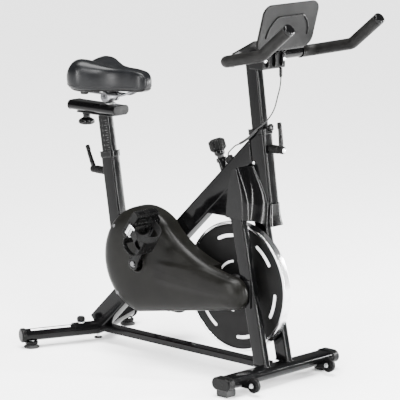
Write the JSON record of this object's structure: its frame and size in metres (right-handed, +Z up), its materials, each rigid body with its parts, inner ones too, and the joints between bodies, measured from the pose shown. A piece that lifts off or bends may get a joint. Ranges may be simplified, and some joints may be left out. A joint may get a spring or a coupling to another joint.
{
  "type": "exercise bike",
  "caption": "Indoor cycle with a belt-driven flywheel, friction brake, sliding saddle and bullhorn handlebar on a V-shaped rear and straight front base.",
  "frame": {"origin": "on the floor, under the middle of the bounding box", "axes": "+X forward towards the handlebar, +Y to the rider's left, +Z up"},
  "size_m": [1.0883, 0.4996, 1.1182],
  "materials": {
    "frame_paint": "satin powder coat",
    "cover_plastic": "fine-textured charcoal",
    "gloss_plastic": "gloss black",
    "rubber": "matte",
    "zinc": "bright zinc",
    "flywheel_iron": "black faces with a chromed rim",
    "saddle_skin": "satin synthetic leather",
    "foam": "soft closed-cell foam",
    "felt": "dense felt"
  },
  "bodies": {
    "frame": {"spine_tube": "frame_paint", "seat_tube": "frame_paint", "head_tube": "frame_paint", "fork_crown": "frame_paint", "fork_leg_left": "frame_paint", "fork_leg_right": "frame_paint", "bottom_bar": "frame_paint", "rear_stabiliser": "frame_paint", "rear_cap_left": "cover_plastic", "rear_cap_right": "cover_plastic", "front_stabiliser": "frame_paint", "front_cap_left": "cover_plastic", "front_cap_right": "cover_plastic", "front_foot_left": "rubber", "front_foot_right": "rubber", "fork_cover": "gloss_plastic", "flywheel_axle": "zinc", "belt_cover": "cover_plastic", "belt_backplate": "cover_plastic", "brake_sleeve": "frame_paint", "seat_collar": "cover_plastic", "bar_collar": "cover_plastic", "speed_sensor": "cover_plastic", "sensor_cable": "rubber", "drive_belt": "rubber"},
    "flywheel": {"flywheel": "flywheel_iron", "flywheel_pulley": "zinc"},
    "crankset": {"crank_axle": "zinc", "crank_left": "frame_paint", "crank_right": "frame_paint", "drive_pulley": "cover_plastic"},
    "pedal_left": {"pedal_left": "frame_paint", "toe_cage_left": "cover_plastic"},
    "pedal_right": {"pedal_right": "frame_paint", "toe_cage_right": "cover_plastic"},
    "brake": {"brake_rod": "zinc", "brake_pad": "felt"},
    "tension_knob": {"tension_knob": "cover_plastic"},
    "seat_post": {"seat_post": "frame_paint"},
    "slider_knob": {"slider_knob": "cover_plastic"},
    "seat_slider": {"seat_slider": "frame_paint"},
    "saddle": {"saddle": "saddle_skin", "saddle_base": "cover_plastic", "seat_clamp": "zinc"},
    "seat_lever": {"seat_lever": "cover_plastic"},
    "handlebar_post": {"handlebar_post": "frame_paint", "handlebar": "frame_paint", "grip_left": "foam", "grip_right": "foam", "bar_clamp": "gloss_plastic", "console": "cover_plastic", "tablet_holder": "cover_plastic"},
    "console_button": {"console_button": "rubber"},
    "bar_lever": {"bar_lever": "cover_plastic"},
    "transport_wheel_left": {"transport_wheel_left": "rubber"},
    "transport_wheel_right": {"transport_wheel_right": "rubber"},
    "rear_foot_left": {"rear_foot_left": "rubber"},
    "rear_foot_right": {"rear_foot_right": "rubber"},
    "centre_foot": {"centre_foot": "rubber"}
  },
  "joints": [
    {"name": "flywheel_spin", "type": "hinge", "parent": "frame", "child": "flywheel", "pos_m": [0.166, 0, 0.266], "axis": [0, 1, 0], "continuous": true},
    {"name": "crank_spin", "type": "hinge", "parent": "frame", "child": "crankset", "pos_m": [-0.155, 0, 0.303], "axis": [0, 1, 0], "continuous": true},
    {"name": "pedal_left_spin", "type": "hinge", "parent": "crankset", "child": "pedal_left", "pos_m": [-0.24382, 0, 0.15805], "axis": [0, 1, 0], "continuous": true},
    {"name": "pedal_right_spin", "type": "hinge", "parent": "crankset", "child": "pedal_right", "pos_m": [-0.06618, 0, 0.44795], "axis": [0, 1, 0], "continuous": true},
    {"name": "brake_press", "type": "slide", "parent": "frame", "child": "brake", "axis": [0.3827, 0, -0.9239], "range_m": [0, 0.0035], "stiffness_N_per_m": 1500},
    {"name": "tension_knob_turn", "type": "hinge", "parent": "brake", "child": "tension_knob", "pos_m": [0.166, 0, 0.466], "axis": [-0.3827, 0, 0.9239], "range_deg": [-180, 180]},
    {"name": "seat_post_slide", "type": "slide", "parent": "frame", "child": "seat_post", "axis": [-0.1657, 0, 0.9862], "range_m": [-0.05, 0.12]},
    {"name": "seat_lever_turn", "type": "hinge", "parent": "frame", "child": "seat_lever", "pos_m": [-0.42, 0, 0.542], "axis": [1, 0, 0], "range_deg": [-90, 90]},
    {"name": "seat_slider_slide", "type": "slide", "parent": "seat_post", "child": "seat_slider", "axis": [1, 0, 0], "range_m": [-0.06, 0.035]},
    {"name": "slider_knob_turn", "type": "hinge", "parent": "seat_post", "child": "slider_knob", "pos_m": [-0.474, 0, 0.69], "axis": [0, 0, 1], "range_deg": [-180, 180]},
    {"name": "saddle_tilt", "type": "hinge", "parent": "seat_slider", "child": "saddle", "pos_m": [-0.369, 0, 0.776], "axis": [0, 1, 0], "range_deg": [-10, 15]},
    {"name": "handlebar_post_slide", "type": "slide", "parent": "frame", "child": "handlebar_post", "axis": [-0.1387, 0, 0.9903], "range_m": [-0.09, 0.05], "deforming": ["sensor_cable"]},
    {"name": "bar_lever_turn", "type": "hinge", "parent": "frame", "child": "bar_lever", "pos_m": [0.31, 0, 0.69], "axis": [1, 0, 0], "range_deg": [-90, 90]},
    {"name": "console_button_press", "type": "slide", "parent": "handlebar_post", "child": "console_button", "axis": [0.4555, 0, -0.8902], "range_m": [0, 0.002], "stiffness_N_per_m": 400},
    {"name": "transport_wheel_left_roll", "type": "hinge", "parent": "frame", "child": "transport_wheel_left", "pos_m": [0.377, 0.164, 0.033], "axis": [0, 1, 0], "continuous": true},
    {"name": "rear_foot_left_turn", "type": "hinge", "parent": "frame", "child": "rear_foot_left", "pos_m": [-0.51, 0.209, 0.02], "axis": [0, 0, 1], "range_deg": [-180, 180]},
    {"name": "transport_wheel_right_roll", "type": "hinge", "parent": "frame", "child": "transport_wheel_right", "pos_m": [0.377, -0.164, 0.033], "axis": [0, 1, 0], "continuous": true},
    {"name": "rear_foot_right_turn", "type": "hinge", "parent": "frame", "child": "rear_foot_right", "pos_m": [-0.51, -0.209, 0.02], "axis": [0, 0, 1], "range_deg": [-180, 180]},
    {"name": "centre_foot_turn", "type": "hinge", "parent": "frame", "child": "centre_foot", "pos_m": [-0.43, 0, 0.02], "axis": [0, 0, 1], "range_deg": [-180, 180]}
  ],
  "couplings": [
    {"joint": "crank_spin", "follows": "flywheel_spin", "ratio": 0.25455}
  ]
}
